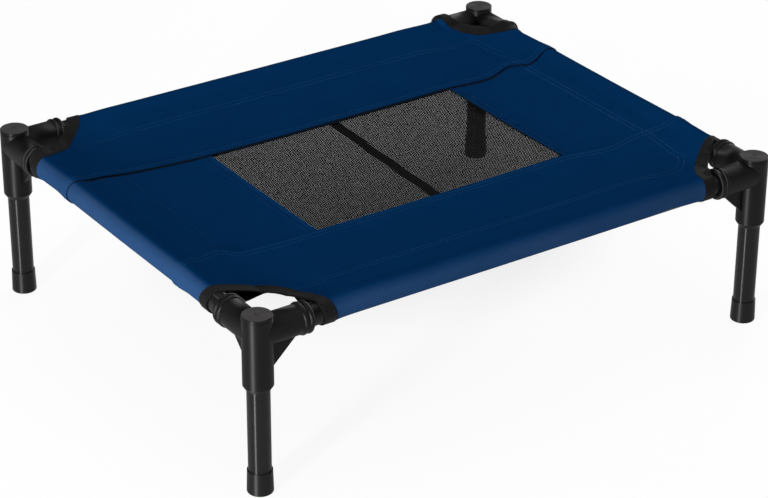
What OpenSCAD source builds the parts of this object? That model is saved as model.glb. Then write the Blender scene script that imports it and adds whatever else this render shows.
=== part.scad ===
// Raised dog cot: steel tubes in plastic corner connectors, push-in legs and a sewn cover.
// The origin is on the floor under the middle of the cot, +X runs along the long side and +Z is up.

/* [Overall size] */
// Distance between the leg centre lines along the long side
axis_length = 582; // [440:2:900]
// Distance between the leg centre lines along the short side
axis_width = 466; // [380:2:760]
// Height from the floor to the top of the corner caps
total_height = 185; // [160:1:320]

/* [Tubes] */
// Outside diameter of the rail and leg tubes
tube_od = 22; // [18:0.5:26]
// Wall of the rail and leg tubes
tube_wall = 1; // [0.8:0.1:2]
// Radial clearance of a tube in its socket
socket_clear = 0.08; // [0.02:0.01:0.1]

/* [Corner connectors] */
// Wall of the plastic sockets
socket_wall = 3.42; // [2.5:0.02:5]
// Reach of a rail arm from the leg centre line
arm_reach = 52.5; // [48:0.5:66]
// Depth that a leg pushes into its socket
leg_insert = 41; // [30:1:60]
// Solid plastic between the blind ends of the sockets
core_wall = 6; // [4:0.5:8]
// Drop from the cap seam to the top of the rail arms
shoulder = 0.5; // [0:0.1:4]
// Height of the chamfer at the mouth of the leg socket
mouth_height = 4.5; // [2:0.5:8]
// Lip left round the mouth of the leg socket
mouth_lip = 0.5; // [0.3:0.1:2]
// Radius of the ring beads at the end of a rail arm
bead_radius = 2.5; // [1.5:0.1:3]
// Height of the ring beads above the arm
bead_rise = 1.4; // [0.8:0.1:1.5]
// Distance between the two ring beads
bead_pitch = 6; // [5.5:0.5:9]
// Reach of the gusset along the arm from the leg centre line
gusset_reach = 40; // [28:1:44]
// Drop of the gusset below the rail centre line
gusset_drop = 39; // [24:1:48]
// Thickness of the gusset
gusset_thick = 5; // [3:0.5:8]

/* [Top caps] */
// Thickness of the cap's rim
cap_thick = 3; // [2:0.5:6]
// Rounding of the cap's upper edge
cap_round = 1; // [0.4:0.1:1.6]
// Bevel of the cap's lower edge and of the socket's rim, which leaves a fine groove between them
seam_bevel = 0.4; // [0.2:0.1:0.4]
// Diameter of the cap's stem
stem_d = 20; // [12:0.5:20]
// Length of the cap's stem
stem_length = 9; // [5:0.5:12]
// Wall of the cap's stem
stem_wall = 2; // [1.2:0.1:3]
// Radial clearance of the stem in its recess
stem_clear = 0.05; // [0.02:0.01:0.1]
// Width of the dimple in the middle of the cap
dimple_d = 5.5; // [3:0.5:8]
// Depth of the dimple in the middle of the cap
dimple_depth = 0.6; // [0.2:0.1:1]

/* [Foot caps] */
// Height of a foot cap
foot_height = 23.5; // [15:0.5:35]
// Wall of a foot cap at its rim
foot_wall = 1; // [0.8:0.1:3]
// Widening of a foot cap from its rim to the floor
foot_flare = 0.6; // [0:0.1:2]
// Thickness of the foot cap's floor
foot_floor = 3; // [2:0.5:6]
// Rounding of the foot cap's lower edge
foot_round = 1.5; // [0.5:0.1:2]
// Radial clearance of a foot cap on its leg
foot_clear = 0.05; // [0.02:0.01:0.1]

/* [Cover] */
// Thickness of the coated fabric
fabric = 0.6; // [0.4:0.1:1.5]
// Clearance between a rail and its sleeve
sleeve_clear = 0.25; // [0.2:0.05:1]
// Distance from the rail centre line to the sleeve's stitch line
sleeve_depth = 42; // [34:1:56]
// Gap between the layers of the cover
layer_gap = 0.2; // [0.1:0.05:0.4]
// Distance from the middle of the cot to the long seams
seam_offset = 100; // [60:1:110]
// Length of the mesh window between the end panels
window_length = 296; // [200:2:320]
// Distance of the window's middle to the right of the cot's middle, where the cover is drawn over
window_shift = 8; // [-20:1:20]
// Overlap of the layers at a seam
lap = 11; // [6:1:16]
// Bare rail between the front left connector and the binding, where the cover is drawn back
bare_front_left = 14; // [0.5:0.5:20]
// Bare rail between the front right connector and the binding
bare_front_right = 2; // [0.5:0.5:20]
// Bare rail between the back left connector and the binding
bare_back_left = 6.5; // [0.5:0.5:20]
// Bare rail between the back right connector and the binding
bare_back_right = 1; // [0.5:0.5:20]
// Distance outside the front left leg, both ways, of the centre of its cut-out's arc
bow_front_left = 2; // [0:1:80]
// Distance outside the other legs, both ways, of the centres of their cut-outs' arcs
bow_others = 60; // [0:1:80]
// Visible width of the binding tape
binding_width = 13; // [8:0.5:18]

/* [Mesh window] */
// Openings of the net along the long side
gaps_long = 20; // [6:1:20]
// Openings of the net along the short side
gaps_short = 14; // [4:1:14]
// Width of the net's strands
strand = 4; // [2:0.5:5]
// Thickness of the net
net_thick = 0.8; // [0.5:0.1:1.5]
// Width of the tape across the middle of the net
tape_width = 11; // [6:0.5:25]
// Thickness of the tape across the middle of the net
tape_thick = 1.2; // [0.8:0.1:2]

/* [Hidden] */
$fn = 96;
eps = 0.01;

half_length = axis_length / 2;
half_width = axis_width / 2;
tube_r = tube_od / 2;
bore_r = tube_r + socket_clear;
socket_r = bore_r + socket_wall;

// Heights, from the cap downwards
cap_seam_z = total_height - cap_thick;
rail_z = cap_seam_z - shoulder - socket_r;
leg_stop_z = rail_z - bore_r - core_wall;
socket_bottom_z = leg_stop_z - leg_insert;
recess_bottom_z = leg_stop_z + core_wall;

// A rail starts this far from the leg centre line, at the blind end of its socket
rail_stop = bore_r + core_wall;

// Outer radius of the foot cap at its rim and at the floor
foot_bore_r = tube_r + foot_clear;
foot_rim_r = foot_bore_r + foot_wall;
foot_base_r = foot_rim_r + foot_flare;

// Sleeve section: a circle round the rail and two near tangents that meet at the stitch line
sleeve_r = tube_r + sleeve_clear;
tangent_angle = asin(sleeve_r / sleeve_depth);
tangent_start = 0.99;
sleeve_tip = (sleeve_r + fabric) / sin(tangent_angle);
sheet_start = sleeve_depth + layer_gap;

// Corner cut-outs of the cover are arcs, which cross a rail's centre line at the end of its bare length
function bare_rail(side_x, side_y) =
    side_y < 0
        ? (side_x < 0 ? bare_front_left : bare_front_right)
        : (side_x < 0 ? bare_back_left : bare_back_right);
function bow(side_x, side_y) = side_x < 0 && side_y < 0 ? bow_front_left : bow_others;
function cut_r(side_x, side_y) =
    norm([arm_reach + bare_rail(side_x, side_y) + bow(side_x, side_y), bow(side_x, side_y)]);
binding_thick = 2 * fabric;

// Levels of the flat layers, from the side panels downwards
side_sheet_z = rail_z + layer_gap / 2;
end_sheet_z = rail_z - layer_gap / 2 - fabric;
net_z = end_sheet_z - layer_gap - net_thick;
tape_z = net_z - layer_gap - tape_thick;

// Corners: side_x is -1 on the left and 1 on the right, side_y is -1 at the front and 1 at the back.
// A child drawn with its arms along +X and +Y then points them along the rails.
module at_corner(side_x, side_y) {
    translate([side_x * half_length, side_y * half_width, 0])
        mirror([side_x > 0 ? 1 : 0, 0, 0])
            mirror([0, side_y > 0 ? 1 : 0, 0])
                children();
}

// Draws a child that runs along +X from the leg centre line, at the rail's height, along +X and +Y
module along_both_arms() {
    translate([0, 0, rail_z])
        children();
    translate([0, 0, rail_z])
        mirror([1, -1, 0])
            children();
}

// Lays a child drawn along +Z down along +X
module lie_along_x() {
    rotate([0, 90, 0])
        children();
}

// Corner connector

module arm_body() {
    lie_along_x()
        cylinder(r = socket_r, h = arm_reach - bead_radius);
    for (turn = [0, 1])
        translate([arm_reach - bead_radius - turn * bead_pitch, 0, 0])
            lie_along_x()
                rotate_extrude()
                    translate([socket_r + bead_rise - bead_radius, 0])
                        circle(r = bead_radius, $fn = 32);
    translate([0, gusset_thick / 2, 0])
        rotate([90, 0, 0])
            linear_extrude(gusset_thick)
                polygon([
                    [0, 0],
                    [gusset_reach, -socket_r],
                    [socket_r, -gusset_drop],
                    [0, -gusset_drop]
                ]);
}

module arm_bore() {
    translate([rail_stop, 0, 0])
        lie_along_x()
            cylinder(r = bore_r, h = arm_reach);
}

module connector() {
    color([0.15, 0.14, 0.14])
        difference() {
            union() {
                translate([0, 0, socket_bottom_z])
                    cylinder(r1 = bore_r + mouth_lip, r2 = socket_r, h = mouth_height);
                translate([0, 0, socket_bottom_z + mouth_height])
                    cylinder(r = socket_r, h = cap_seam_z - seam_bevel - socket_bottom_z - mouth_height);
                translate([0, 0, cap_seam_z - seam_bevel])
                    cylinder(r1 = socket_r, r2 = socket_r - seam_bevel, h = seam_bevel);
                along_both_arms()
                    arm_body();
            }
            along_both_arms()
                arm_bore();
            translate([0, 0, socket_bottom_z - eps])
                cylinder(r = bore_r, h = leg_insert + eps);
            translate([0, 0, recess_bottom_z])
                cylinder(r = stem_d / 2 + stem_clear, h = total_height - recess_bottom_z);
        }
}

// Round cap that closes the top of a connector

module cap_section() {
    polygon([
        [0, 0],
        [socket_r - seam_bevel, 0],
        [socket_r, seam_bevel],
        [socket_r, cap_thick - cap_round],
        [0, cap_thick - cap_round]
    ]);
    square([socket_r - cap_round, cap_thick]);
    translate([socket_r - cap_round, cap_thick - cap_round])
        circle(r = cap_round, $fn = 32);
}

module cap() {
    // Radius of the ball that leaves a dimple of the given width and depth
    ball_r = (pow(dimple_d / 2, 2) + pow(dimple_depth, 2)) / (2 * dimple_depth);
    color([0.25, 0.25, 0.25])
        translate([0, 0, cap_seam_z])
            difference() {
                union() {
                    rotate_extrude()
                        cap_section();
                    translate([0, 0, -stem_length])
                        cylinder(d = stem_d, h = stem_length + eps);
                }
                translate([0, 0, -stem_length - eps])
                    cylinder(d = stem_d - 2 * stem_wall, h = stem_length + eps);
                translate([0, 0, cap_thick - dimple_depth + ball_r])
                    sphere(r = ball_r);
            }
}

// Leg tube and foot cap

module leg() {
    color([0.12, 0.12, 0.12])
        translate([0, 0, foot_floor])
            difference() {
                cylinder(r = tube_r, h = leg_stop_z - foot_floor);
                translate([0, 0, -eps])
                    cylinder(r = tube_r - tube_wall, h = leg_stop_z);
            }
}

module foot() {
    color([0.13, 0.13, 0.13])
        difference() {
            rotate_extrude() {
                polygon([
                    [0, 0],
                    [foot_base_r - foot_round, 0],
                    [foot_base_r, foot_round],
                    [foot_rim_r, foot_height],
                    [0, foot_height]
                ]);
                translate([foot_base_r - foot_round, foot_round])
                    circle(r = foot_round, $fn = 32);
            }
            translate([0, 0, foot_floor])
                cylinder(r = foot_bore_r, h = foot_height);
        }
}

// Rail tube of the given length between leg centre lines, along +X from the middle

module rail(span) {
    color([0.12, 0.12, 0.12])
        translate([rail_stop - span / 2, 0, rail_z])
            lie_along_x()
                difference() {
                    cylinder(r = tube_r, h = span - 2 * rail_stop);
                    translate([0, 0, -eps])
                        cylinder(r = tube_r - tube_wall, h = span);
                }
}

// Cover

// Section of a sleeve's solid, with the rail's centre at the origin and the sheet towards +X.
// The flat walls start slightly inside the circle, so that they cross it instead of touching it.
module sleeve_outline(r) {
    start_r = tangent_start * r;
    circle(r = r);
    polygon([
        [0, 0],
        [start_r * sin(tangent_angle), -start_r * cos(tangent_angle)],
        [r / sin(tangent_angle), 0],
        [start_r * sin(tangent_angle), start_r * cos(tangent_angle)]
    ]);
}

// Sleeve of the given thickness along +X from one distance to another, on a rail at the local origin,
// with its sheet towards +Y
module sleeve(from, to, thick) {
    translate([from, 0, rail_z])
        rotate([90, 0, 90])
            linear_extrude(to - from)
                difference() {
                    sleeve_outline(sleeve_r + thick);
                    sleeve_outline(sleeve_r);
                }
}

// Upright cylinder of one corner's cut-out, grown by a margin, at a corner whose arms point along +X and +Y
module corner_post(side_x, side_y, margin) {
    shift = bow(side_x, side_y);
    translate([-shift, -shift, 0])
        cylinder(r = cut_r(side_x, side_y) + margin, h = 2 * total_height);
}

// Sleeve along +X from one leg centre line towards the next, mitred at the first
module mitred_sleeve(length, thick) {
    intersection() {
        sleeve(0, length, thick);
        linear_extrude(2 * total_height)
            polygon([
                [-socket_r - eps, -socket_r],
                [length + socket_r, -socket_r],
                [length + socket_r, length + socket_r + eps]
            ]);
    }
}

// Side panel drawn at the front, for the corners of the side named: the long rail's sleeve,
// the ends of the short rails' sleeves and the sheet
module side_panel(side_y) {
    sheet_depth = half_width - seam_offset - sheet_start;
    color([0.03, 0.17, 0.34])
        difference() {
            union() {
                for (side_x = [-1, 1])
                    at_corner(side_x, -1) {
                        mitred_sleeve(half_length + eps, fabric);
                        mirror([1, -1, 0])
                            mitred_sleeve(half_width - seam_offset - layer_gap / 2, fabric);
                    }
                translate([sheet_start - half_length, sheet_start - half_width, side_sheet_z])
                    cube([axis_length - 2 * sheet_start, sheet_depth, fabric]);
            }
            for (side_x = [-1, 1])
                at_corner(side_x, -1)
                    corner_post(side_x, side_y, binding_width + layer_gap);
        }
}

// End panel drawn at the left: the middle of the short rail's sleeve and the sheet up to the mesh window,
// whose edge is the given distance from the middle of the cot
module end_panel(window_edge) {
    sheet_width = half_length - window_edge - sheet_start;
    lap_start = sleeve_tip + layer_gap;
    lap_width = half_length - window_edge - lap_start;
    seam_edge = seam_offset - layer_gap / 2;
    color([0.03, 0.17, 0.34]) {
        translate([-half_length, 0, 0])
            mirror([1, -1, 0])
                sleeve(-seam_edge, seam_edge, fabric);
        translate([sheet_start - half_length, -seam_edge, end_sheet_z])
            cube([sheet_width, 2 * seam_edge, fabric]);
        translate([lap_start - half_length, -seam_offset - lap, end_sheet_z])
            cube([lap_width, 2 * (seam_offset + lap), fabric]);
    }
}

// Net across the window, with a plain margin that laps under the panels
module mesh_window() {
    step_long = window_length / gaps_long;
    step_short = 2 * seam_offset / gaps_short;
    color([0.2, 0.2, 0.2])
        translate([window_shift, 0, net_z])
            linear_extrude(net_thick)
                difference() {
                    square([window_length + 2 * lap, 2 * (seam_offset + lap)], center = true);
                    for (i = [0 : gaps_long - 1], j = [0 : gaps_short - 1])
                        translate([
                            (i + 0.5) * step_long - window_length / 2,
                            (j + 0.5) * step_short - seam_offset
                        ])
                            square([step_long - strand, step_short - strand], center = true);
                }
}

// Tape under the middle of the net, parallel to the short sides
module centre_tape() {
    color([0.08, 0.08, 0.08])
        translate([window_shift - tape_width / 2, -seam_offset - lap, tape_z])
            cube([tape_width, 2 * (seam_offset + lap), tape_thick]);
}

// Space round a connector's arm that the binding keeps clear of
module arm_space() {
    lie_along_x()
        cylinder(r = socket_r + bead_rise + layer_gap, h = arm_reach + layer_gap);
}

// Binding tape round one corner cut-out and the two sleeve ends beside it
module binding(side_x, side_y) {
    flat_thick = 2 * fabric + layer_gap;
    color([0.1, 0.1, 0.1])
        difference() {
            intersection() {
                union() {
                    mitred_sleeve(half_width, binding_thick);
                    mirror([1, -1, 0])
                        mitred_sleeve(half_width, binding_thick);
                    translate([sheet_start, sheet_start, rail_z - flat_thick / 2])
                        cube([half_width, half_width, flat_thick]);
                }
                corner_post(side_x, side_y, binding_width);
            }
            translate([0, 0, -total_height / 2])
                corner_post(side_x, side_y, 0);
            along_both_arms()
                arm_space();
        }
}

at_corner(-1, -1) connector();  // connector_front_left
at_corner(1, -1) connector();  // connector_front_right
at_corner(-1, 1) connector();  // connector_back_left
at_corner(1, 1) connector();  // connector_back_right
at_corner(-1, -1) cap();  // cap_front_left
at_corner(1, -1) cap();  // cap_front_right
at_corner(-1, 1) cap();  // cap_back_left
at_corner(1, 1) cap();  // cap_back_right
at_corner(-1, -1) leg();  // leg_front_left
at_corner(1, -1) leg();  // leg_front_right
at_corner(-1, 1) leg();  // leg_back_left
at_corner(1, 1) leg();  // leg_back_right
at_corner(-1, -1) foot();  // foot_front_left
at_corner(1, -1) foot();  // foot_front_right
at_corner(-1, 1) foot();  // foot_back_left
at_corner(1, 1) foot();  // foot_back_right
translate([0, -half_width, 0]) rail(axis_length);  // rail_front
translate([0, half_width, 0]) rail(axis_length);  // rail_back
translate([-half_length, 0, 0]) rotate([0, 0, 90]) rail(axis_width);  // rail_left
translate([half_length, 0, 0]) rotate([0, 0, 90]) rail(axis_width);  // rail_right
side_panel(-1);  // side_panel_front
mirror([0, 1, 0]) side_panel(1);  // side_panel_back
end_panel(window_length / 2 - window_shift);  // end_panel_left
mirror([1, 0, 0]) end_panel(window_length / 2 + window_shift);  // end_panel_right
mesh_window();
centre_tape();
at_corner(-1, -1) binding(-1, -1);  // binding_front_left
at_corner(1, -1) binding(1, -1);  // binding_front_right
at_corner(-1, 1) binding(-1, 1);  // binding_back_left
at_corner(1, 1) binding(1, 1);  // binding_back_right
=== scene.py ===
"""Looks of the raised dog cot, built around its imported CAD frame. All lengths are in metres."""

import math

import bpy
import numpy as np
from mathutils import Matrix, Vector, kdtree, noise
from mathutils.geometry import delaunay_2d_cdt


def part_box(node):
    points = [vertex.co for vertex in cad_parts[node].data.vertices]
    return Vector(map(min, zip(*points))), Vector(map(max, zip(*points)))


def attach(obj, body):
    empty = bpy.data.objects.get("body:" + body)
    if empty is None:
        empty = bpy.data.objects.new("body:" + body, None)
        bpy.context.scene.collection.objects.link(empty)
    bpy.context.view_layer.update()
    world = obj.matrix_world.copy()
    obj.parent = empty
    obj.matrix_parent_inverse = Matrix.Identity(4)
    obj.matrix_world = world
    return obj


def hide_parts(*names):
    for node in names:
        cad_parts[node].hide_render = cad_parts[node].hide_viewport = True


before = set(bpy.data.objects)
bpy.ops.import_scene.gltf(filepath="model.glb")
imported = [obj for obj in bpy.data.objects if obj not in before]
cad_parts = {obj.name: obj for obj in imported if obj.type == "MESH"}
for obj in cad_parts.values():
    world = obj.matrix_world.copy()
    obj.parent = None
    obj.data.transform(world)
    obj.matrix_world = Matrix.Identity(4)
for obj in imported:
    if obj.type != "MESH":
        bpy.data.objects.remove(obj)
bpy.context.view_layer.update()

COVER_BODY = "frame_and_cover"
MM = 0.001
CORNERS = {
    "front_left": (-1, -1),
    "front_right": (1, -1),
    "back_left": (-1, 1),
    "back_right": (1, 1),
}
SHORT_SIDES = (("left", -1), ("right", 1))

# Places that come from the frame
leg_low, leg_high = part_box("leg_back_right")
HALF_LENGTH = (leg_low.x + leg_high.x) / 2
HALF_WIDTH = (leg_low.y + leg_high.y) / 2
rail_low, rail_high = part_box("rail_front")
RAIL_Z = (rail_low.z + rail_high.z) / 2
TUBE_R = (rail_high.z - rail_low.z) / 2
net_low, net_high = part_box("mesh_window")

# Cover sizes
LAP = 11 * MM
SEAM_Y = net_high.y - LAP
WINDOW_ENDS = {"left": -net_low.x - LAP, "right": net_high.x - LAP}
WINDOW_MIDDLE = (net_low.x + net_high.x) / 2
SLEEVE_DEPTH = 42 * MM
FABRIC = 0.4 * MM
SLEEVE_R = TUBE_R + 0.25 * MM
HEM = 12 * MM
HEM_DROP = 1.2 * MM
SAG = 3.5 * MM
SOFT_BEND = 30 * MM
BEND_FADE = 20 * MM
CORNER_HOLD = 115 * MM
CORNER_FADE = 45 * MM
SEAM_LIFT = 0.95 * MM
LIFT_FADE = 22 * MM
FOLD_LIFT = 1.1 * MM
FOLD_WIDTH = 3.5 * MM
NET_DROP = 1.1 * MM
TUCK = 6 * MM
LIFT_FLAT = TUCK + 2 * MM
SEAM_RIDGE = 0.7 * MM
RIDGE_WIDTH = 10 * MM
PRESSED = 0.85
SEAM_CLEAR = 3 * MM
ROW_GAP = 5.5 * MM
STITCH_PITCH = 3.4 * MM
TAPE_WIDTH = 13 * MM
TAPE_SKIN = 0.45 * MM
TAPE_PLAY = 0.05 * MM
TAPE_INSIDE = FABRIC / 2 + TAPE_PLAY
TAPE_OUTSIDE = TAPE_INSIDE + TAPE_SKIN
TAPE_HOLD = 2.5 * MM

# Waves of the cloth, each with its size, height and layer of the noise, and their share on the sleeves
WAVES = ((75 * MM, 0.45 * MM, 3.7), (22 * MM, 0.12 * MM, 8.1))
SLEEVE_CALM = 0.35
# Puckers beside the stitch lines
PUCKER_WIDTH = 9 * MM
PUCKER_RISE = 0.32 * MM
PUCKER_SIZE = (6.5 * MM, 30 * MM)
PUCKER_LAYER = 5.5

# Steps of the grids: on flat cloth, at folded edges, along lines, and on, round and below a sleeve
GRID_STEP = 3 * MM
FOLD_STEP = 1 * MM
LINE_STEP = 1.5 * MM
TOP_STEP = 4.5 * MM
WRAP_STEP = 1.6 * MM
BELOW_STEP = 6 * MM
# Grid points this close to an outline are left out
GRID_CLEAR = 0.9 * MM

# Reach of each corner's cut-out from the leg's centre line: along the long rail, along the short rail
# and, as equal distances both ways, on the diagonal
CUT_OUTS = {
    "front_left": (60.5 * MM, 64.0 * MM, 51.0 * MM),
    "front_right": (55.5 * MM, 56.0 * MM, 31.6 * MM),
    "back_left": (61.5 * MM, 52.5 * MM, 30.8 * MM),
    "back_right": (43.0 * MM, 51.5 * MM, 26.5 * MM),
}
# A cut-out's edge moves away from the leg down the outside of a rail, and a short rail's edge
# comes back below
CUT_OUTWARD = 4 * MM
CUT_INWARD = 4 * MM
MITRE_GAP = 1.5 * MM

# The long seams pucker and wander: places along X and how far to the back the seam lies there, in mm
SEAM_WANDER = {
    "front": [
        (-300, -3), (-276, 5), (-247, 12), (-228, 0), (-150, 0), (150, 0), (201, -10), (235, -6), (262, -9)
    ],
    "back": [(-290, 1), (-250, 5), (-120, 0), (150, 0), (203, -6), (240, 4), (259, -8), (288, 3)],
}
WANDER_WIDTH = 30 * MM

# Connector arms, which the cloth clears where it runs over them
ARM_CLEAR = 15.9 * MM + TAPE_OUTSIDE
ARM_END = 53.5 * MM
ARM_RAMP = 3.5 * MM
EDGE_RISE = 0.5 * MM
EDGE_RAMP = 8 * MM

# Sleeve section: straight from the stitch line up to the rail, round it, and straight back below
TANGENT = math.asin(SLEEVE_R / SLEEVE_DEPTH)
STRAIGHT = SLEEVE_DEPTH * math.cos(TANGENT)
WRAP = SLEEVE_R * (math.pi + 2 * TANGENT)
UNDER = STRAIGHT + WRAP
RAIL_TOP = STRAIGHT + SLEEVE_R * TANGENT
RAIL_SIDE = RAIL_TOP + SLEEVE_R * math.pi / 2
SLEEVE_END = UNDER + STRAIGHT
FLAP = SLEEVE_END + HEM
FLAT_X = HALF_LENGTH - SLEEVE_DEPTH
FLAT_Y = HALF_WIDTH - SLEEVE_DEPTH


# Shape of the cover, in unwrapped coordinates p (along X) and q (along Y)

def sleeve_section(s):
    """Distance inboard of the rail's centre line and height above it, s past the stitch line."""
    s = np.asarray(s, float)
    sin_t, cos_t = math.sin(TANGENT), math.cos(TANGENT)
    angle = math.pi / 2 - TANGENT + (s - STRAIGHT) / SLEEVE_R
    back = s - UNDER
    zones = [s <= 0, s <= STRAIGHT, s <= UNDER, s <= SLEEVE_END]
    inboard = np.select(
        zones,
        [
            SLEEVE_DEPTH - s,
            SLEEVE_DEPTH - s * cos_t,
            SLEEVE_R * np.cos(angle),
            SLEEVE_R * sin_t + back * cos_t,
        ],
        SLEEVE_DEPTH + (s - SLEEVE_END),
    )
    drop = HEM_DROP * np.clip(back / STRAIGHT, 0, 1)
    height = np.select(
        zones,
        [
            np.zeros_like(s),
            s * sin_t,
            SLEEVE_R * np.sin(angle),
            back * sin_t - SLEEVE_R * cos_t - drop,
        ],
        -HEM_DROP,
    )
    return inboard, height


def sagging(x, y):
    """How far the stretched cover hangs below the stitch lines."""
    across = np.clip(1 - (x / FLAT_X) ** 2, 0, 1)
    along = np.clip(1 - (y / FLAT_Y) ** 2, 0, 1)
    return SAG * across * along


def soft_bend(inboard):
    """Rise of a curved bend above a kink at the stitch line, fading out at the rail."""
    past = (SLEEVE_DEPTH - inboard) / math.cos(TANGENT)
    curve = (np.sqrt(past ** 2 + SOFT_BEND ** 2) - np.abs(past)) / 2
    return math.sin(TANGENT) * curve * smooth((inboard - SLEEVE_R) / BEND_FADE)


def bend_rise(in_p, in_q):
    """How far both layers rise near the stitch lines, where the cloth bends in a curve and not in a kink.
    At the corners the cut-outs' edges hold it down."""
    near_p, near_q = (smooth((CORNER_HOLD - inboard) / CORNER_FADE) for inboard in (in_p, in_q))
    return np.maximum(soft_bend(in_p), soft_bend(in_q)) * (1 - near_p * near_q)


def seam_wander(x, q):
    """How far along Y the wandering of the nearer long seam moves the cloth."""
    moved = np.zeros(np.shape(x))
    for side, here in (("front", q < 0), ("back", q > 0)):
        at, value = np.transpose(SEAM_WANDER[side]) * MM
        first = np.clip(np.searchsorted(at, x) - 1, 0, len(at) - 2)
        share = smooth((x - at[first]) / (at[first + 1] - at[first]))
        moved = np.where(here, value[first] + share * (value[first + 1] - value[first]), moved)
    return moved * np.exp(-((np.abs(q) - SEAM_Y) / WANDER_WIDTH) ** 2)


def cover_point(p, q):
    """Place on the cover's shape of a point in unwrapped coordinates."""
    in_p, up_p = sleeve_section(np.abs(p) - FLAT_X)
    in_q, up_q = sleeve_section(np.abs(q) - FLAT_Y)
    x = np.sign(p) * (HALF_LENGTH - in_p)
    y = np.sign(q) * (HALF_WIDTH - in_q) + seam_wander(x, q)
    z = RAIL_Z + up_p + up_q + bend_rise(in_p, in_q) - sagging(x, y)
    return np.stack([x, y, z], axis=-1)


def cover_normal(p, q):
    step = 0.02 * MM
    along_p = cover_point(p + step, q) - cover_point(p - step, q)
    along_q = cover_point(p, q + step) - cover_point(p, q - step)
    normal = np.cross(along_p, along_q)
    return normal / np.linalg.norm(normal, axis=-1, keepdims=True)


def wrinkles(p, q):
    """Height of the cloth's slight waves and of the puckers beside the stitch rows."""
    out = np.zeros(len(p))
    for i, (a, b) in enumerate(zip(p, q)):
        past_p = abs(a) - FLAT_X
        past_q = abs(b) - FLAT_Y
        calm = 1.0 if max(past_p, past_q) < 0 else SLEEVE_CALM
        for size, rise, layer in WAVES:
            out[i] += calm * rise * noise.noise(Vector((a / size, b / size, layer)))
        for past, along in ((past_p, b), (past_q, a)):
            near = math.exp(-((past + ROW_GAP / 2) / PUCKER_WIDTH) ** 2)
            ripple = noise.noise(Vector((along / PUCKER_SIZE[0], past / PUCKER_SIZE[1], PUCKER_LAYER)))
            out[i] += near * PUCKER_RISE * ripple
    return out


def stretch_lines(start, stop, step):
    count = max(1, round(abs(stop - start) / step))
    return np.linspace(start, stop, count + 1)


def merged(*parts):
    """The lines of several stretches, in order and without doubles."""
    return np.unique(np.round(np.concatenate(parts), 7))


def pairs(p, q):
    """Points from two sets of coordinates, either of which may be a single number."""
    return np.stack(np.broadcast_arrays(p, q), axis=1)


def run_along(points):
    """Distance along a line at each of its points."""
    gaps = np.linalg.norm(np.diff(points, axis=0), axis=1)
    return np.concatenate([[0], np.cumsum(gaps)])


def value_along(at, run, values):
    """Values at distances along a line, from those at its points."""
    return np.stack([np.interp(at, run, column) for column in values.T], axis=-1)


def flap_lines(flat_edge, sign):
    """Grid lines across one sleeve, outward from the stitch line."""
    steps = merged(
        stretch_lines(0, STRAIGHT, TOP_STEP),
        stretch_lines(STRAIGHT, UNDER, WRAP_STEP),
        stretch_lines(UNDER, SLEEVE_END, BELOW_STEP),
        stretch_lines(SLEEVE_END, FLAP, BELOW_STEP),
    )
    return sign * (flat_edge + steps)


def smooth(share):
    """Eases a share from 0 to 1, and holds it at its ends."""
    share = np.clip(share, 0, 1)
    return share * share * (3 - 2 * share)


def cut_shape(corner, extra):
    """Reach along the two rails and roundness of a corner's cut-out, widened by extra."""
    reach_x, reach_y, diagonal = CUT_OUTS[corner]
    wide_x, wide_y = reach_x + extra, reach_y + extra
    middle = diagonal + extra / math.sqrt(2)
    power = math.log(2) / math.log(math.sqrt(wide_x * wide_y) / middle)
    return wide_x, wide_y, power


def past_top(inboard):
    """Unwrapped distance past a stitch line of a point on the cover's top."""
    inside = SLEEVE_DEPTH - inboard
    return np.where(inside > 0, inside / math.cos(TANGENT), inside)


def slanted(stations, low_end):
    """How far a cut-out's edge has moved along its rail, at stations from its top to its low end."""
    return np.interp(stations, [RAIL_TOP, RAIL_SIDE, SLEEVE_END], [0, CUT_OUTWARD, low_end])


def flap_edge(far, across, power, stations, extra, low_end):
    """How far past the other stitch line a flap's edge lies, at stations across the flap."""
    inboard, _ = sleeve_section(np.minimum(stations, RAIL_TOP))
    share = np.clip(inboard / across, 0, 1) ** power
    reach = far * (1 - share) ** (1 / power) + slanted(stations, low_end)
    inboard_below, _ = sleeve_section(np.maximum(stations, UNDER))
    mitre = inboard_below + MITRE_GAP + extra * math.sqrt(2)
    return past_top(np.where(stations > UNDER, np.maximum(reach, mitre), reach))


def top_edge(wide_x, wide_y, power, shares):
    """Unwrapped coordinates along a cut-out's edge on the top, from the long rail to the short one."""
    tangent_at = SLEEVE_R * math.sin(TANGENT)
    first = math.asin((tangent_at / wide_y) ** (power / 2))
    last = math.acos((tangent_at / wide_x) ** (power / 2))
    turn = first + (last - first) * shares
    u = wide_x * np.cos(turn) ** (2 / power)
    v = wide_y * np.sin(turn) ** (2 / power)
    return past_top(u), past_top(v)


def corner_outline(corner, extra):
    """Edge of the cover round a corner cut-out, as distances past the two stitch lines."""
    wide_x, wide_y, power = cut_shape(corner, extra)
    stations = flap_lines(0, 1)
    stations = stations[stations > STRAIGHT - MM][::-1]
    long_edge = flap_edge(wide_x, wide_y, power, stations, extra, CUT_OUTWARD)
    short_edge = flap_edge(wide_y, wide_x, power, stations, extra, -CUT_INWARD)
    top = top_edge(wide_x, wide_y, power, np.linspace(0, 1, 30)[1:-1])
    return np.concatenate([pairs(long_edge, stations), pairs(*top), pairs(stations, short_edge)[::-1]])


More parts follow.
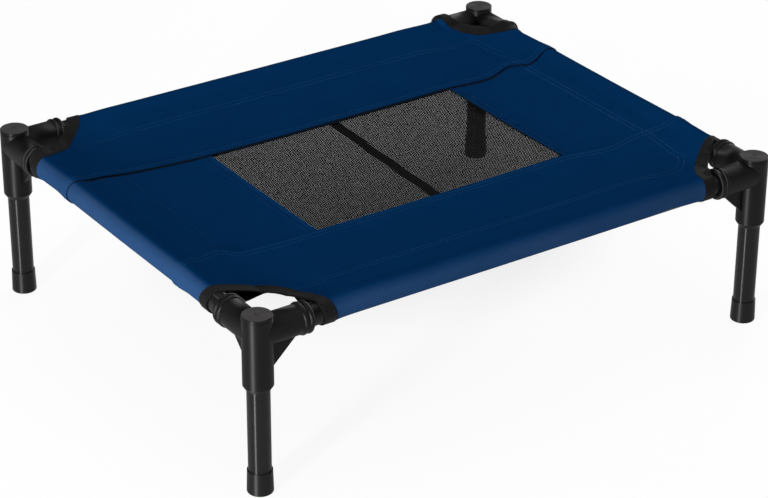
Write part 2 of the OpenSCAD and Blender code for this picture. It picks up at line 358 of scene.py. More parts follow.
def edge_lift(p, q):
    """How far the cloth is raised where it runs over a connector's arm or into a folded binding."""
    past_p, past_q = np.abs(p) - FLAT_X, np.abs(q) - FLAT_Y
    u, up_u = sleeve_section(past_p)
    v, up_v = sleeve_section(past_q)
    over_x = smooth((ARM_END + ARM_RAMP - u) / ARM_RAMP) * np.maximum(ARM_CLEAR - np.hypot(v, up_v), 0)
    over_y = smooth((ARM_END + ARM_RAMP - v) / ARM_RAMP) * np.maximum(ARM_CLEAR - np.hypot(u, up_u), 0)
    rise = np.zeros(len(p))
    for corner, (side_x, side_y) in CORNERS.items():
        wide_x, wide_y, power = cut_shape(corner, TAPE_WIDTH)
        share_x = np.maximum(u / wide_x, 0) ** power
        share_y = np.maximum(v / wide_y, 0) ** power
        outside = ((share_x + share_y) ** (1 / power) - 1) * wide_x
        outside = np.where(past_q > RAIL_TOP, u - wide_x - slanted(past_q, CUT_OUTWARD), outside)
        outside = np.where(past_p > RAIL_TOP, v - wide_y - slanted(past_p, -CUT_INWARD), outside)
        here = (p * side_x > 0) & (q * side_y > 0)
        rise[here] = EDGE_RISE * smooth(1 - outside[here] / EDGE_RAMP)
    return np.maximum(rise, over_x + over_y)


def inside_outline(points, outline):
    x, y = points[:, 0], points[:, 1]
    found = np.zeros(len(points), bool)
    for (x0, y0), (x1, y1) in zip(outline, np.roll(outline, -1, axis=0)):
        if y0 == y1:
            continue
        crosses = (y0 > y) != (y1 > y)
        found ^= crosses & (x < (x1 - x0) * (y - y0) / (y1 - y0) + x0)
    return found


def triangulate(outline, lines_p, lines_q):
    """Points and triangles that fill an outline, on a grid of lines inside it."""
    grid = np.stack(np.meshgrid(lines_p, lines_q), axis=-1).reshape(-1, 2)
    grid = grid[inside_outline(grid, outline)]
    tree = kdtree.KDTree(len(outline))
    for i, (a, b) in enumerate(outline):
        tree.insert((a, b, 0), i)
    tree.balance()
    kept = [g for g in grid if tree.find((g[0], g[1], 0))[2] > GRID_CLEAR]
    points = [Vector(v) for v in outline] + [Vector(v) for v in kept]
    loop = list(range(len(outline)))
    inside_only = 1
    found = delaunay_2d_cdt(points, [], [loop], inside_only, 1e-9)
    flat = np.array([v[:] for v in found[0]])
    faces = [tuple(f) for f in found[2]]
    return flat, faces


def add_object(name, points, faces, material, uv=None, sharp_angle=40):
    mesh = bpy.data.meshes.new(name)
    mesh.from_pydata([tuple(v) for v in points], [], faces)
    mesh.validate()
    if uv is not None:
        layer = mesh.uv_layers.new(name="weave")
        corner = np.zeros(len(mesh.loops), np.int32)
        mesh.loops.foreach_get("vertex_index", corner)
        layer.data.foreach_set("uv", np.asarray(uv)[corner].astype(np.float32).ravel())
    mesh.shade_smooth()
    mesh.set_sharp_from_angle(angle=math.radians(sharp_angle))
    mesh.materials.append(material)
    piece = bpy.data.objects.new(name, mesh)
    bpy.context.scene.collection.objects.link(piece)
    return piece


def ring_faces(rows, count, flip=False):
    """Faces of a closed tube made of rows of count points each, with its two ends."""
    faces = []
    for i in range(rows):
        a, b = i * count, (i + 1) % rows * count
        for k in range(count - 1):
            faces.append((a + k, b + k, b + k + 1, a + k + 1))
    faces.append(tuple(i * count for i in reversed(range(rows))))
    faces.append(tuple(i * count + count - 1 for i in range(rows)))
    return [tuple(reversed(f)) for f in faces] if flip else faces


def ride_cover(piece, slot, *nodes):
    """Sews a piece to the cover's body, in place of CAD nodes if any are named."""
    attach(piece, COVER_BODY)
    if nodes:
        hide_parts(*nodes)
    return piece


def cloth_panel(name, outline, lines_p, lines_q, lift, ridge):
    """A closed sheet of cloth on the cover's shape. ridge gives the extra thickness of its folded edges."""
    flat, faces = triangulate(outline, lines_p, lines_q)
    p, q = flat[:, 0], flat[:, 1]
    base = cover_point(p, q)
    normal = cover_normal(p, q)
    level = lift(p, q) + wrinkles(p, q)
    upper = base + normal * (level + FABRIC / 2 + ridge(p, q))[:, None]
    lower = base + normal * (level - FABRIC / 2)[:, None]
    count = len(flat)
    sides = {}
    for f in faces:
        for a, b in zip(f, f[1:] + f[:1]):
            if (b, a) in sides:
                del sides[(b, a)]
            else:
                sides[(a, b)] = True
    solid = list(faces)
    solid += [tuple(count + i for i in reversed(f)) for f in faces]
    solid += [(b, a, count + a, count + b) for a, b in sides]
    return add_object(name, np.concatenate([upper, lower]), solid, cloth, np.concatenate([flat, flat]))


# Sewing thread. A stitch has a straight middle part, and its ends go down into the cloth

STITCH_LENGTH = 2.9 * MM
STITCH_MIDDLE = 0.26
THREAD_R = 0.31 * MM
THREAD_RISE = 0.35 * THREAD_R
THREAD_SINK = 0.6 * THREAD_R
THREAD_SIDES = 5


def thread_row(points, normals):
    """Points and faces of the stitches along a line on the cloth."""
    run = run_along(points)
    count = int(run[-1] // STITCH_PITCH)
    middles = (np.arange(count) + 0.5) * run[-1] / count
    sides = THREAD_SIDES
    turn = np.arange(sides) * 2 * math.pi / sides
    verts = []
    faces = []
    for at in middles:
        ends = value_along([at - STITCH_LENGTH / 2, at + STITCH_LENGTH / 2], run, points)
        up = value_along(at, run, normals)
        up /= np.linalg.norm(up)
        along = ends[1] - ends[0]
        size = np.linalg.norm(along)
        along /= size
        across = np.cross(up, along)
        middle = (ends[0] + ends[1]) / 2 + up * THREAD_RISE
        first = len(verts)
        verts.append(ends[0] - up * THREAD_SINK)
        for share in (-STITCH_MIDDLE, STITCH_MIDDLE):
            for angle in turn:
                ring = across * math.cos(angle) + up * math.sin(angle)
                verts.append(middle + along * size * share + ring * THREAD_R)
        verts.append(ends[1] - up * THREAD_SINK)
        for i in range(sides):
            j = (i + 1) % sides
            faces.append((first, first + 1 + j, first + 1 + i))
            faces.append((first + 1 + i, first + 1 + j, first + 1 + sides + j, first + 1 + sides + i))
            faces.append((first + 1 + sides + i, first + 1 + sides + j, first + 1 + 2 * sides))
    return np.array(verts), faces


def soften(line, rounds):
    """Rounds the kinks of a line and leaves its ends in place."""
    line = line.copy()
    for _ in range(rounds):
        line[1:-1] = (line[:-2] + 2 * line[1:-1] + line[2:]) / 4
    return line


def resample(line, step):
    """The same line with points about a step apart."""
    run = run_along(line)
    at = np.linspace(0, run[-1], max(2, round(run[-1] / step)))
    return value_along(at, run, line)


def stitch_piece(name, lines, lift, material, slot):
    """One piece with all the stitches along several lines, given in unwrapped coordinates."""
    all_verts = []
    all_faces = []
    start = 0
    for line in lines:
        p, q = resample(line, LINE_STEP).T
        normal = cover_normal(p, q)
        points = cover_point(p, q) + normal * (lift(p, q) + wrinkles(p, q))[:, None]
        verts, faces = thread_row(points, normal)
        all_verts.append(verts)
        all_faces += [tuple(start + i for i in f) for f in faces]
        start += len(verts)
    piece = add_object(name, np.concatenate(all_verts), all_faces, material, sharp_angle=80)
    return ride_cover(piece, slot)


# Materials

class Nodes:
    """A node tree that grows by one call at a time."""

    def __init__(self, tree):
        self.tree = tree

    def link(self, a, b):
        self.tree.links.new(a, b)

    def node(self, kind, **settings):
        made = self.tree.nodes.new(kind)
        for key, value in settings.items():
            setattr(made, key, value)
        return made

    def feed(self, socket, value):
        if hasattr(value, "is_linked"):
            self.link(value, socket)
        else:
            socket.default_value = value

    def math(self, operation, a, b=0.0):
        made = self.node("ShaderNodeMath", operation=operation)
        self.feed(made.inputs[0], a)
        self.feed(made.inputs[1], b)
        return made.outputs[0]

    def noise(self, vector, scale, detail=2.0):
        made = self.node("ShaderNodeTexNoise")
        self.link(vector, made.inputs["Vector"])
        made.inputs["Scale"].default_value = scale
        made.inputs["Detail"].default_value = detail
        return made.outputs["Fac"]

    def ramp(self, value, start, stop, low, high, kind="SMOOTHSTEP"):
        """Maps a value from start..stop to low..high."""
        made = self.node("ShaderNodeMapRange", interpolation_type=kind)
        self.link(value, made.inputs["Value"])
        ends = {"From Min": start, "From Max": stop, "To Min": low, "To Max": high}
        for key, end in ends.items():
            made.inputs[key].default_value = end
        return made.outputs["Result"]

    def spread(self, value, low, high):
        """Maps a value from 0..1 to low..high."""
        return self.ramp(value, 0.0, 1.0, low, high, "LINEAR")

    def axes(self, vector):
        split = self.node("ShaderNodeSeparateXYZ")
        self.link(vector, split.inputs[0])
        return split.outputs

    def mix(self, factor, a, b):
        made = self.node("ShaderNodeMix", data_type="RGBA")
        self.feed(made.inputs["Factor"], factor)
        self.feed(made.inputs["A"], a)
        self.feed(made.inputs["B"], b)
        return made.outputs["Result"]

    def weave(self, vector, pitch):
        """Height of a plain weave of that pitch: one thread over the next, turn by turn."""
        u, v = (self.math("DIVIDE", self.axes(vector)[axis], pitch) for axis in "XY")
        cells = self.math("ADD", self.math("FLOOR", u), self.math("FLOOR", v))
        over = self.math("FLOORED_MODULO", cells, 2.0)
        rounds = []
        for value in (u, v):
            part = self.math("MULTIPLY", self.math("FRACT", value), math.pi)
            rounds.append(self.math("SINE", part))
        first = self.math("MULTIPLY", rounds[0], over)
        second = self.math("MULTIPLY", rounds[1], self.math("SUBTRACT", 1.0, over))
        return self.math("ADD", first, second)


class Shader(Nodes):
    """A principled material."""

    def __init__(self, name):
        self.material = bpy.data.materials.new(name)
        self.material.use_nodes = True
        super().__init__(self.material.node_tree)
        self.tree.nodes.clear()
        self.output = self.node("ShaderNodeOutputMaterial")
        self.surface = self.node("ShaderNodeBsdfPrincipled")
        self.link(self.surface.outputs["BSDF"], self.output.inputs["Surface"])

    def set(self, **values):
        for key, value in values.items():
            self.feed(self.surface.inputs[key.replace("_", " ")], value)

    def finish(self, tint, varied, low, high, specular):
        """Sets the colour, the roughness from low to high as a value varies, and the shine."""
        self.set(Base_Color=tint, Roughness=self.spread(varied, low, high), Specular_IOR_Level=specular)

    def coordinates(self, layer=None):
        if layer:
            return self.node("ShaderNodeUVMap", uv_map=layer).outputs["UV"]
        return self.node("ShaderNodeTexCoord").outputs["Object"]

    def bump(self, height, strength, distance):
        made = self.node("ShaderNodeBump")
        made.inputs["Strength"].default_value = strength
        made.inputs["Distance"].default_value = distance
        self.link(height, made.inputs["Height"])
        if self.surface.inputs["Normal"].is_linked:
            self.link(self.surface.inputs["Normal"].links[0].from_socket, made.inputs["Normal"])
        self.link(made.outputs["Normal"], self.surface.inputs["Normal"])

    def upright_gloss(self, amount):
        """Draws highlights out along upright tubes, as fine turning marks do."""
        round_axis = self.node("ShaderNodeTangent", direction_type="RADIAL", axis="Z")
        self.set(Anisotropic=amount, Anisotropic_Rotation=0.25, Tangent=round_axis.outputs["Tangent"])


def colour(r, g, b):
    return (r, g, b, 1.0)


def shade_of(base, share):
    return colour(*[c * share for c in base])


# Painted sheen, where the cloth over the rails is painted paler as if lit there: axis, stitch line, start
# and stop in sleeve radii past the rail's top, and the most sheen that is painted
PAINTED_ROLL_SHEEN = (("X", FLAT_X, 0.05, 0.55, 1.0), ("Y", FLAT_Y, -0.1, 1.3, 0.9))
CLOTH_PITCH = 0.7 * MM


def oxford_cloth():
    m = Shader("navy_oxford")
    uv = m.coordinates("weave")
    cloudy = m.noise(uv, 28.0, 3.0)
    thread = m.noise(uv, 900.0, 1.0)
    weave = m.weave(uv, CLOTH_PITCH)
    shade = m.mix(cloudy, colour(0.0010, 0.0230, 0.082), colour(0.0014, 0.0290, 0.101))
    dark = m.mix(m.spread(thread, 0.0, 0.35), shade, colour(0.0006, 0.0150, 0.057))
    deep = m.mix(m.spread(weave, 0.30, 0.0), dark, colour(0.0004, 0.0100, 0.038))
    # Painted sheen: paler, greyer cloth over the rolled edges of the rails, as if lit there, spread in
    # patches
    sheen_bands = []
    for axis, edge, start, stop, most in PAINTED_ROLL_SHEEN:
        past = m.math("SUBTRACT", m.math("ABSOLUTE", m.axes(uv)[axis]), edge)
        sheen_bands.append(m.ramp(past, RAIL_TOP + start * SLEEVE_R, RAIL_TOP + stop * SLEEVE_R, 0.0, most))
    sheen_patches = m.noise(uv, 7.0, 2.0)
    painted_sheen = m.math("MULTIPLY", m.math("MAXIMUM", *sheen_bands), m.spread(sheen_patches, 0.25, 1.05))
    m.finish(m.mix(painted_sheen, deep, colour(0.0190, 0.0465, 0.109)), cloudy, 0.50, 0.60, specular=0.0)
    m.bump(weave, 0.35, 0.12 * MM)
    m.bump(cloudy, 0.25, 0.6 * MM)
    return m.material


def plastic_shader(name, base, grain):
    """Black plastic whose finish is still to be set, with its tint and the clouds that vary it."""
    m = Shader(name)
    place = m.coordinates()
    speckle = m.noise(place, 2200.0, 2.0)
    broad = m.noise(place, 60.0, 3.0)
    tint = m.mix(broad, shade_of(base, 0.85), shade_of(base, 1.2))
    m.upright_gloss(0.9)
    m.bump(speckle, grain, 0.1 * MM)
    m.bump(broad, 0.1, 0.4 * MM)
    return m, tint, broad


def moulded_plastic(name, base, roughness, specular, grain):
    m, tint, broad = plastic_shader(name, base, grain)
    m.finish(tint, broad, roughness - 0.04, roughness + 0.04, specular)
    return m.material


def cap_finish():
    """The connectors' plastic, with a duller top that has fine rings, painted paler as if lit from above.
    """
    m, tint, _ = plastic_shader("cap_black_plastic", (0.0038, 0.0036, 0.0037), 0.08)
    place = m.node("ShaderNodeTexCoord").outputs
    top = m.ramp(m.axes(place["Normal"])["Z"], 0.9, 0.99, 0.0, 1.0, "LINEAR")
    middle = m.node("ShaderNodeVectorMath", operation="SUBTRACT")
    m.link(place["Generated"], middle.inputs[0])
    middle.inputs[1].default_value = (0.5, 0.5, 0.5)
    rings = m.node("ShaderNodeTexWave", wave_type="RINGS", rings_direction="Z")
    m.link(middle.outputs[0], rings.inputs["Vector"])
    rings.inputs["Scale"].default_value = 4.0
    # Painted light: faces that point up are coloured paler, as if lit from above
    pale = m.mix(rings.outputs["Fac"], colour(0.046, 0.043, 0.045), colour(0.060, 0.057, 0.059))
    m.finish(m.mix(top, tint, pale), top, 0.50, 0.85, specular=m.spread(top, 0.16, 0.05))
    return m.material


def powder_coat():
    m = Shader("black_powder_coat")
    place = m.coordinates()
    peel = m.noise(place, 700.0, 2.0)
    broad = m.noise(place, 45.0, 3.0)
    tint = m.mix(broad, colour(0.0035, 0.0035, 0.0038), colour(0.0055, 0.0055, 0.0058))
    m.finish(tint, broad, 0.34, 0.40, specular=0.22)
    m.upright_gloss(1.0)
    m.bump(peel, 0.05, 0.12 * MM)
    return m.material


def ribbed_tape(name, base):
    m = Shader(name)
    uv = m.coordinates("weave")
    turns = m.math("MULTIPLY", m.axes(uv)["X"], 2 * math.pi / RIB_PITCH)
    rib = m.spread(m.math("SINE", turns), 0.0, 1.0)
    fuzz = m.noise(uv, 2500.0, 2.0)
    faded = m.noise(uv, 90.0, 2.0)
    raised = m.math("MULTIPLY", rib, m.spread(faded, 0.6, 1.0))
    tint = m.mix(raised, shade_of(base, 0.35), shade_of(base, 1.8))
    m.finish(tint, fuzz, 0.62, 0.8, specular=0.08)
    m.set(Sheen_Weight=0.02, Sheen_Roughness=0.5)
    m.bump(fuzz, 0.3, 0.1 * MM)
    return m.material


def coated_strand():
    m = Shader("charcoal_mesh")
    place = m.coordinates()
    fuzz = m.noise(place, 1500.0, 2.0)
    broad = m.noise(place, 40.0, 2.0)
    tint = m.mix(broad, colour(0.0024, 0.0023, 0.0026), colour(0.0045, 0.0043, 0.0048))
    m.finish(tint, fuzz, 0.5, 0.65, specular=0.04)
    m.bump(fuzz, 0.25, 0.1 * MM)
    return m.material


def sewing_thread(name, base):
    m = Shader(name)
    place = m.coordinates()
    twist = m.noise(place, 3000.0, 1.0)
    tint = m.mix(twist, shade_of(base, 0.7), shade_of(base, 1.3))
    m.finish(tint, twist, 0.45, 0.6, specular=0.05)
    m.bump(twist, 0.4, 0.1 * MM)
    return m.material


BLACK_TAPE = (0.0064, 0.0059, 0.0059)
RIB_PITCH = 2.0 * MM

cloth = oxford_cloth()
connector_plastic = moulded_plastic("satin_black_plastic", (0.0024, 0.0022, 0.0022), 0.55, 0.24, 0.10)
cap_plastic = cap_finish()
foot_plastic = moulded_plastic("foot_black_plastic", (0.0034, 0.0032, 0.0032), 0.52, 0.26, 0.12)
tube_coat = powder_coat()
binding_cloth = ribbed_tape("black_binding", BLACK_TAPE)
strap_cloth = ribbed_tape("black_webbing", BLACK_TAPE)
# Painted shadow: a near black strip that shows as the dark line below the seams' folds
seam_shadow_cloth = ribbed_tape("painted_seam_shadow", (0.0020, 0.0050, 0.0115))
net_plastic = coated_strand()
blue_thread = sewing_thread("navy_thread", (0.0040, 0.0420, 0.126))
deep_thread = sewing_thread("deep_navy_thread", (0.0014, 0.0280, 0.097))
black_thread = sewing_thread("black_thread", (0.0100, 0.0100, 0.0105))

# Rigid CAD nodes keep their shapes and get these finishes
FINISHES = {
    "connector": connector_plastic,
    "cap": cap_plastic,
    "leg": tube_coat,
    "rail": tube_coat,
    "foot": foot_plastic,
}
for name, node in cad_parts.items():
    finish = FINISHES.get(name.split("_")[0])
    if finish:
        node.data.materials.clear()
        node.data.materials.append(finish)

# Cover panels

def folded_edge(distance):
    """Extra thickness at a folded and sewn edge, for a distance inside that edge."""
    return SEAM_RIDGE * smooth(3 - 2 * distance / RIDGE_WIDTH)


def pressed(p):
    """Share of a fold's height that is left where tension presses it on to an end rail."""
    return 1 - PRESSED * smooth(2 * (np.abs(p) - FLAT_X) / STRAIGHT - 1)


def side_ridge(p, q):
    return folded_edge(np.abs(q) - SEAM_Y) * pressed(p)


def from_window(p):
    """Distance beyond the window's end."""
    return np.where(p < 0, -p - WINDOW_ENDS["left"], p - WINDOW_ENDS["right"])


def clear_of_seam(q):
    """Share of an end panel's fold that is left beside the long seams, which press it flat."""
    return np.clip((SEAM_Y - np.abs(q)) / SEAM_CLEAR, 0, 1)


def end_ridge(p, q):
    return folded_edge(from_window(p)) * clear_of_seam(q)


def fold_lift(distance):
    """Height by which a folded edge stands off the layer below, for a distance inside that edge."""
    return FOLD_LIFT * smooth(1 - distance / FOLD_WIDTH)


def side_lift(p, q):
    """Height of a side panel above the cover's shape: over the end panels at its seam and corners."""
    inside = np.abs(q) - SEAM_Y
    over_end = SEAM_LIFT * smooth(1 - (inside - LIFT_FLAT) / LIFT_FADE) + fold_lift(inside) * pressed(p)
    return np.maximum(over_end, edge_lift(p, q))


def end_lift(p, q):
    return fold_lift(from_window(p)) * clear_of_seam(q)


def side_outline(side):
    """Unwrapped outline of a side panel with its two corner cut-outs, drawn at the front."""
    left = corner_outline(f"{side}_left", TAPE_WIDTH - TAPE_HOLD)
    left = -left - [FLAT_X, FLAT_Y]
    right = corner_outline(f"{side}_right", TAPE_WIDTH - TAPE_HOLD)
    right = (right * [1, -1] + [FLAT_X, -FLAT_Y])[::-1]
    hem_edge = pairs(stretch_lines(right[-1][0], left[0][0], GRID_STEP)[1:-1], left[0][1])
    up_edge = pairs(left[-1][0], stretch_lines(left[-1][1], -SEAM_Y, GRID_STEP)[1:])
    seam = pairs(panel_lines_p()[1:-1], -SEAM_Y)
    down_edge = pairs(right[0][0], stretch_lines(-SEAM_Y, right[0][1], GRID_STEP)[:-1])
    return np.concatenate([left, up_edge, seam, down_edge, right, hem_edge])


def panel_lines_p():
    middle = stretch_lines(-FLAT_X, FLAT_X, GRID_STEP)
    return merged(flap_lines(FLAT_X, -1), middle, flap_lines(FLAT_X, 1))


def side_lines_q():
    inner = stretch_lines(-FLAT_Y, -SEAM_Y, GRID_STEP)
    fold = stretch_lines(-SEAM_Y - FOLD_WIDTH, -SEAM_Y, FOLD_STEP)
    return merged(flap_lines(FLAT_Y, -1), inner, fold)


for side, sign in (("front", 1), ("back", -1)):
    outline = side_outline(side) * [1, sign]
    if sign < 0:
        outline = outline[::-1]
    name = f"side_panel_cloth_{side}"
    lines_q = np.sort(side_lines_q() * sign)
    panel = cloth_panel(name, outline, panel_lines_p(), lines_q, side_lift, side_ridge)
    ride_cover(panel, "cover_fabric", f"side_panel_{side}")

for side, sign in SHORT_SIDES:
    edge_q = stretch_lines(-SEAM_Y - TUCK, SEAM_Y + TUCK, GRID_STEP)
    window_end = WINDOW_ENDS[side]
    inner = stretch_lines(window_end, FLAT_X, GRID_STEP)
    fold = stretch_lines(window_end, window_end + FOLD_WIDTH, FOLD_STEP)
    lines_p = merged(fold, inner, flap_lines(FLAT_X, 1))
    near = pairs(lines_p[0], edge_q)[::-1]
    low = pairs(lines_p, edge_q[0])[1:]
    far = pairs(lines_p[-1], edge_q)[1:]
    high = pairs(lines_p, edge_q[-1])[::-1][1:-1]
    outline = np.concatenate([near, low, far, high]) * [sign, 1]
    if sign < 0:
        outline = outline[::-1]
    name = f"end_panel_cloth_{side}"
    panel = cloth_panel(name, outline, np.sort(lines_p * sign), edge_q, end_lift, end_ridge)
    ride_cover(panel, "cover_fabric", f"end_panel_{side}")

# Binding tape folded over the edge of each corner cut-out

RIB_RISE = 0.16 * MM
STEPS_PER_RIB = 4
TAPE_RUMPLE = 0.5 * MM
RUMPLE_SIZE = 6 * MM
RUMPLE_LAYER = (2.3, 0.7)


def tape_section():
    """Distance from the cut-out's edge, height on the cloth and share of rib, once round the tape."""
    rows = [(d, TAPE_OUTSIDE, 1.0) for d in np.linspace(TAPE_WIDTH, TAPE_OUTSIDE, 6)]
    for angle in np.radians([60, 30, 0, -30, -60]):
        rows.append((TAPE_OUTSIDE * (1 - math.cos(angle)), TAPE_OUTSIDE * math.sin(angle), 1.0))
    rows += [(d, -TAPE_OUTSIDE, 0.0) for d in np.linspace(TAPE_OUTSIDE, TAPE_WIDTH, 4)]
    rows += [(d, -TAPE_INSIDE, 0.0) for d in np.linspace(TAPE_WIDTH, TAPE_OUTSIDE, 4)]
    for angle in np.radians([-45, 0, 45]):
        rows.append((TAPE_OUTSIDE - TAPE_INSIDE * math.cos(angle), TAPE_INSIDE * math.sin(angle), 0.0))
    rows += [(d, TAPE_INSIDE, 0.0) for d in np.linspace(TAPE_OUTSIDE, TAPE_WIDTH, 4)]
    return np.array(rows)


def tape_path(corner, extra, marks):
    """Unwrapped corner coordinates along a tape. Marks from 0 to 5 count its stretches:
    below the long rail, round it, over the corner, round the short rail and below it."""
    wide_x, wide_y, power = cut_shape(corner, extra)
    start = FLAP - MM
    stretch = np.minimum(marks.astype(int), 4)
    share = marks - stretch
    station = np.interp(marks, [0, 1, 2, 3, 4, 5], [start, UNDER, STRAIGHT, STRAIGHT, UNDER, start])
    top_p, top_q = top_edge(wide_x, wide_y, power, share)
    before = stretch < 2
    after = stretch > 2
    long_flap = flap_edge(wide_x, wide_y, power, station, extra, CUT_OUTWARD)
    short_flap = flap_edge(wide_y, wide_x, power, station, extra, -CUT_INWARD)
    past_p = np.select([before, after], [long_flap, station], top_p)
    past_q = np.select([before, after], [station, short_flap], top_q)
    return past_p, past_q


def corner_place(corner, past_p, past_q):
    side_x, side_y = CORNERS[corner]
    return side_x * (FLAT_X + past_p), side_y * (FLAT_Y + past_q)


def tape_marks(corner):
    """Length of a corner's tape along its middle, and even marks along it, with steps for each rib."""
    dense = np.linspace(0, 5, 3000)
    points = cover_point(*corner_place(corner, *tape_path(corner, TAPE_WIDTH / 2, dense)))
    run = run_along(points)
    count = int(run[-1] / RIB_PITCH) * STEPS_PER_RIB
    return run[-1], np.interp(np.linspace(0, run[-1], count), run, dense)


def binding_piece(corner):
    """Ribbed tape folded over a cut-out's edge from one hem to the other."""
    section = tape_section()
    length, marks = tape_marks(corner)
    count = len(marks)
    along = np.linspace(0, length, count)
    ribs = RIB_RISE * np.sin(along / RIB_PITCH * 2 * math.pi)
    bulges = [abs(noise.noise(Vector((a / RUMPLE_SIZE, *RUMPLE_LAYER)))) for a in along]
    rumple = TAPE_RUMPLE * np.array(bulges)
    verts = []
    uv = []
    for extra, height, share in section:
        p, q = corner_place(corner, *tape_path(corner, extra, marks))
        relief = ribs + rumple * (1 - extra / TAPE_WIDTH)
        level = edge_lift(p, q) + wrinkles(p, q) + height + share * relief
        verts.append(cover_point(p, q) + cover_normal(p, q) * level[:, None])
        uv.append(pairs(along, extra))
    side_x, side_y = CORNERS[corner]
    faces = ring_faces(len(section), count, side_x * side_y < 0)
    name = f"binding_tape_{corner}"
    tape = add_object(name, np.concatenate(verts), faces, binding_cloth, np.concatenate(uv), sharp_angle=65)
    ride_cover(tape, "binding_tape", f"binding_{corner}")


for corner in CORNERS:
    binding_piece(corner)

# Mesh window and the tape below its middle

WINDOW_HALF = (net_high.x - net_low.x) / 2 - LAP
# The strands lie a step above and a step below the middle of the net
NET_PITCH = 2.3 * MM
STRAND_WIDTH = 1.28 * MM
STRAND_THICK = 0.34 * MM
STRAND_STEP = 0.17 * MM
STRAND_STATIONS = 27


def net_piece():
    """Flat strands in two layers: the upper ones run along Y and the lower ones along X."""
    reach = (WINDOW_HALF + TUCK, SEAM_Y + TUCK)
    verts = []
    faces = []
    for axis, level in ((1, STRAND_STEP), (0, -STRAND_STEP)):
        along = np.linspace(-reach[axis], reach[axis], STRAND_STATIONS)
        strands = int(reach[1 - axis] / NET_PITCH)
        tube = ring_faces(4, STRAND_STATIONS, axis == 1)
        for across in np.arange(-strands, strands + 1) * NET_PITCH:
            first = len(verts) * STRAND_STATIONS
            x, y = (across, along) if axis == 1 else (along, across)
            middle = RAIL_Z - sagging(WINDOW_MIDDLE + x, y) - NET_DROP + level
            for side, up in ((-1, -1), (1, -1), (1, 1), (-1, 1)):
                edge = across + side * STRAND_WIDTH / 2
                x, y = (edge, along) if axis == 1 else (along, edge)
                z = middle + up * STRAND_THICK / 2
                verts.append(np.stack(np.broadcast_arrays(WINDOW_MIDDLE + x, y, z), axis=1))
            faces += [tuple(first + i for i in f) for f in tube]
    return add_object("window_net", np.concatenate(verts), faces, net_plastic)


net = ride_cover(net_piece(), "window_mesh", "mesh_window")

strap_low, strap_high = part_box("centre_tape")
STRAP_THICK = strap_high.z - strap_low.z
STRAP_HALF = (strap_high.x - strap_low.x) / 2
STRAP_X = (strap_high.x + strap_low.x) / 2
# The strap lies slightly askew: its ends are this far to the right at the back and to the left at the front
STRAP_SKEW = 4 * MM
STRAP_PLAY = 0.1 * MM


def strap_piece():
    """Webbing below the net: a flat band with rounded edges and ribs across it."""
    reach = SEAM_Y + TUCK
    count = int(2 * reach / RIB_PITCH) * STEPS_PER_RIB
    along = np.linspace(-reach, reach, count)
    ribs = RIB_RISE * np.sin(along / RIB_PITCH * 2 * math.pi)
    half = STRAP_THICK / 2
    inner = STRAP_HALF - half
    section = [(x, half, 1.0) for x in np.linspace(-inner, inner, 5)]
    section += [(inner + half * math.cos(a), half * math.sin(a), 0.5) for a in np.radians([45, 0, -45])]
    section += [(x, -half, -1.0) for x in np.linspace(inner, -inner, 5)]
    section += [(-inner - half * math.cos(a), half * math.sin(a), 0.5) for a in np.radians([-45, 0, 45])]
    top = RAIL_Z - NET_DROP - 3 * STRAND_STEP - STRAP_PLAY
    verts = []
    uv = []
    for across, height, share in section:
        x = STRAP_X + across + STRAP_SKEW * along / reach
        level = top - half + height - sagging(x, along) + share * ribs
        verts.append(np.stack([x, along, level], axis=1))
        uv.append(pairs(along, across))
    faces = ring_faces(len(section), count)
    return add_object("strap_webbing", np.concatenate(verts), faces, strap_cloth, np.concatenate(uv), 65)


strap = ride_cover(strap_piece(), "binding_tape", "centre_tape")

# Dark tape in each seam, which shows as a line below the folded edge: a dark strip that stands in for the
# shadow under the fold, a painted shadow

SHADOW_STRIP_OUT = 0.8 * MM
SHADOW_STRIP_IN = 9.2 * MM
SHADOW_STRIP_THICK = 0.4 * MM
SHADOW_STRIP_PLAY = 0.1 * SHADOW_STRIP_THICK
# Where the tape's lip starts to draw back at each end, over what length and by what share
LIP_LEFT = (FLAT_X + RAIL_TOP, 6 * MM, 0.6)
LIP_RIGHT = (215 * MM, 14 * MM, 1.3)


def end_top(p, q):
    """Height of an end panel's upper face."""
    return end_lift(p, q) + FABRIC / 2 + end_ridge(p, q)


def over_ends(p, q):
    """Height at which a long seam's tape lies: on the end panels, or at the cloth's level at the window."""
    return np.where(from_window(p) > 0, end_top(p, q), FABRIC / 2)


def below_ends(p, q):
    """Height of the tape below an end panel's folded edge."""
    return np.full(len(p), -FABRIC / 2 - SHADOW_STRIP_THICK - 2 * SHADOW_STRIP_PLAY)


def down_to_net(p):
    """How much further down a long seam's tape reaches at the window, where the net is sewn to it."""
    return np.where(from_window(p) > 0, 0.0, FABRIC / 2 + NET_DROP)


def seam_lip(p):
    """Share of the tape's lip, the painted shadow line, that shows: less on the left rail, and none near
    the right end.
    """
    share = np.ones(len(p))
    for outward, (begin, length, most) in ((-p, LIP_LEFT), (p, LIP_RIGHT)):
        share *= 1 - most * smooth((outward - begin) / length)
    return share


